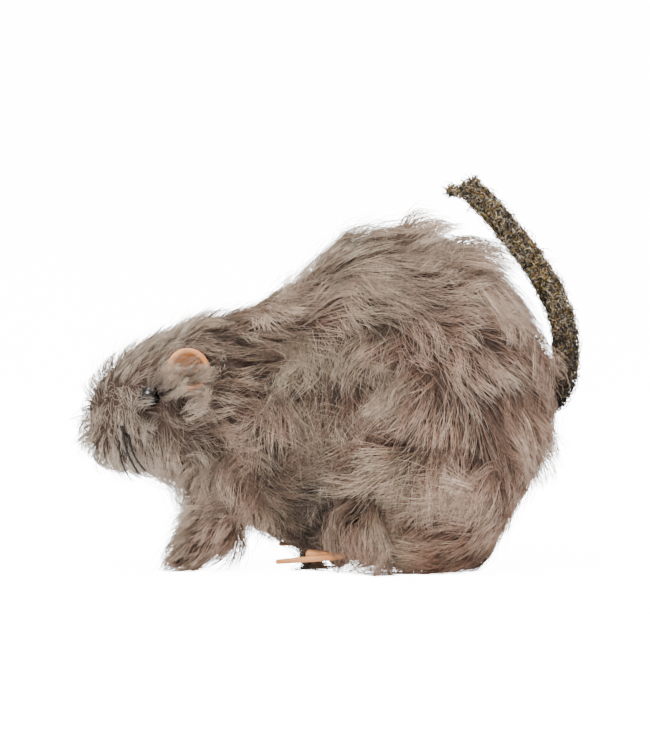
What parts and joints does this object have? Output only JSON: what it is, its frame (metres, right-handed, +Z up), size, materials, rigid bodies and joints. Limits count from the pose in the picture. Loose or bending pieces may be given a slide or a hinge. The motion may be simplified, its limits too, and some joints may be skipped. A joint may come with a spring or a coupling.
{
  "type": "clockwork mouse",
  "caption": "Plush clockwork mouse with a humped furry body, cupped plastic ears, bead eyes, whiskers, an upturned tweed tail and a wing key that drives two wheels under the body.",
  "frame": {"origin": "middle of the seat pad under the base plate, on its lower face", "axes": "+X from nose to tail along the body, +Y to the mouse's right, the side with the key, +Z up"},
  "size_m": [0.1171, 0.0759, 0.0919],
  "materials": {
    "plush": "long pile",
    "shell": "satin",
    "flesh": "satin",
    "bead": "polished",
    "bristle": "satin",
    "tweed": "looped yarn",
    "steel": "plain",
    "spring": "blued",
    "brass": "stamped",
    "plate": "zinc plated",
    "hub": "moulded",
    "tyre": "moulded"
  },
  "bodies": {
    "mouse_body": {"fur_left": "plush", "fur_right": "plush", "fur_head": "plush", "fur_haunch_left": "plush", "fur_haunch_right": "plush", "fur_foreleg_left": "plush", "fur_foreleg_right": "plush", "shell_left": "shell", "shell_right": "shell", "shell_screws": "steel", "ear_left": "flesh", "ear_right": "flesh", "eye_left": "bead", "eye_right": "bead", "eye_washers": "steel", "whiskers_left": "bristle", "whiskers_right": "bristle", "hind_foot_left": "flesh", "hind_foot_right": "flesh", "tail_sleeve": "tweed", "tail_wire": "steel", "tail_plug": "shell", "base_plate": "flesh", "base_screws": "steel", "roller_pin": "steel", "motor_plate_left": "plate", "motor_plate_right": "plate", "motor_pillars": "steel", "motor_screws": "steel", "click_screw": "steel", "click_spring": "steel", "key_bush": "brass"},
    "winder": {"winding_arbor": "steel", "ratchet_wheel": "steel", "winding_key": "plate"},
    "spring_barrel": {"barrel": "brass", "barrel_cover": "brass", "mainspring": "spring"},
    "second_shaft": {"second_arbor": "steel", "second_wheel": "brass"},
    "drive": {"drive_axle": "steel", "drive_pinion": "brass", "drive_wheel_left": "hub", "drive_wheel_right": "hub", "tyre_left": "tyre", "tyre_right": "tyre"},
    "click_pawl": {"click": "steel"},
    "roller": {"front_roller": "hub"}
  },
  "joints": [
    {"name": "key_winding", "type": "hinge", "parent": "mouse_body", "child": "winder", "pos_m": [-0.006, 0, 0.0248], "axis": [0, -1, 0], "continuous": true},
    {"name": "barrel_turn", "type": "hinge", "parent": "mouse_body", "child": "spring_barrel", "pos_m": [-0.006, 0, 0.0248], "axis": [0, -1, 0], "continuous": true},
    {"name": "second_turn", "type": "hinge", "parent": "mouse_body", "child": "second_shaft", "pos_m": [0.00605, 0, 0.01673], "axis": [0, -1, 0], "continuous": true},
    {"name": "drive_turn", "type": "hinge", "parent": "mouse_body", "child": "drive", "pos_m": [0.011, 0, 0.0058], "axis": [0, -1, 0], "continuous": true},
    {"name": "click_lift", "type": "hinge", "parent": "mouse_body", "child": "click_pawl", "pos_m": [-0.0135, 0.01, 0.0274], "axis": [0, 1, 0], "range_deg": [0, 9]},
    {"name": "roller_turn", "type": "hinge", "parent": "mouse_body", "child": "roller", "pos_m": [-0.011, 0, 0.0008], "axis": [0, -1, 0], "continuous": true}
  ],
  "couplings": [
    {"joint": "second_turn", "follows": "drive_turn", "ratio": -0.33333},
    {"joint": "barrel_turn", "follows": "drive_turn", "ratio": 0.069444}
  ]
}
